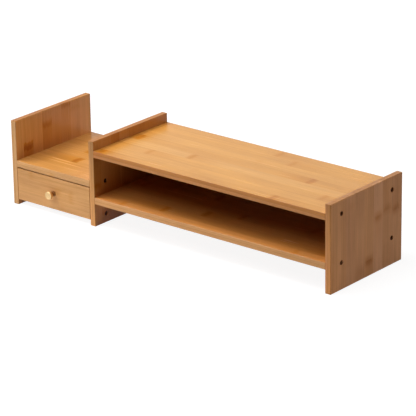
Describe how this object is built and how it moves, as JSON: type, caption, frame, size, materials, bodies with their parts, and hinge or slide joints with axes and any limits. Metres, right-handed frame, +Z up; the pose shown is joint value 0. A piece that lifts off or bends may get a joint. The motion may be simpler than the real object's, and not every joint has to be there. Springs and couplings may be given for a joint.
{
  "type": "desk riser",
  "caption": "Low bamboo monitor riser: a long shelf with an open bay under it between uprights that stand up as lips, and a lower bay with a small pull-out drawer at its left end.",
  "frame": {"origin": "bottom centre of the whole object's box, with the drawer closed and its knob included", "axes": "+X along the riser, to the right as seen from the drawer's front; +Y to the back; +Z up"},
  "size_m": [0.678, 0.204, 0.15],
  "materials": {
    "bamboo_uprights": "satin clear lacquer",
    "bamboo_boards": "satin clear lacquer",
    "bamboo_drawer_front": "satin clear lacquer",
    "bamboo_drawer_walls": "thin clear lacquer",
    "bamboo_panels": "thin clear lacquer",
    "beech_dowels": "raw",
    "black_screws": "blackened",
    "zinc_plated_screw": "zinc plated",
    "pale_brass": "satin"
  },
  "bodies": {
    "carcass": {"left_side_panel": "bamboo_uprights", "divider_panel": "bamboo_uprights", "right_side_panel": "bamboo_uprights", "main_top_board": "bamboo_boards", "lower_shelf": "bamboo_boards", "drawer_bay_top": "bamboo_boards", "drawer_bay_floor": "bamboo_boards", "main_back_panel": "bamboo_panels", "drawer_bay_back_panel": "bamboo_panels", "left_side_screws": "black_screws", "divider_screws_to_main_boards": "black_screws", "divider_screws_to_drawer_bay": "black_screws", "right_side_screws": "black_screws", "left_side_dowels": "beech_dowels", "divider_dowels_to_drawer_bay": "beech_dowels", "divider_dowels_to_main_boards": "beech_dowels", "right_side_dowels": "beech_dowels"},
    "drawer": {"drawer_front": "bamboo_drawer_front", "drawer_left_side": "bamboo_drawer_walls", "drawer_right_side": "bamboo_drawer_walls", "drawer_back": "bamboo_drawer_walls", "drawer_bottom": "bamboo_panels", "drawer_front_dowels": "beech_dowels", "drawer_back_screws": "black_screws", "drawer_knob": "pale_brass", "knob_screw": "zinc_plated_screw"}
  },
  "joints": [
    {"name": "drawer_slide", "type": "slide", "parent": "carcass", "child": "drawer", "axis": [0, -1, 0], "range_m": [0, 0.14]}
  ]
}
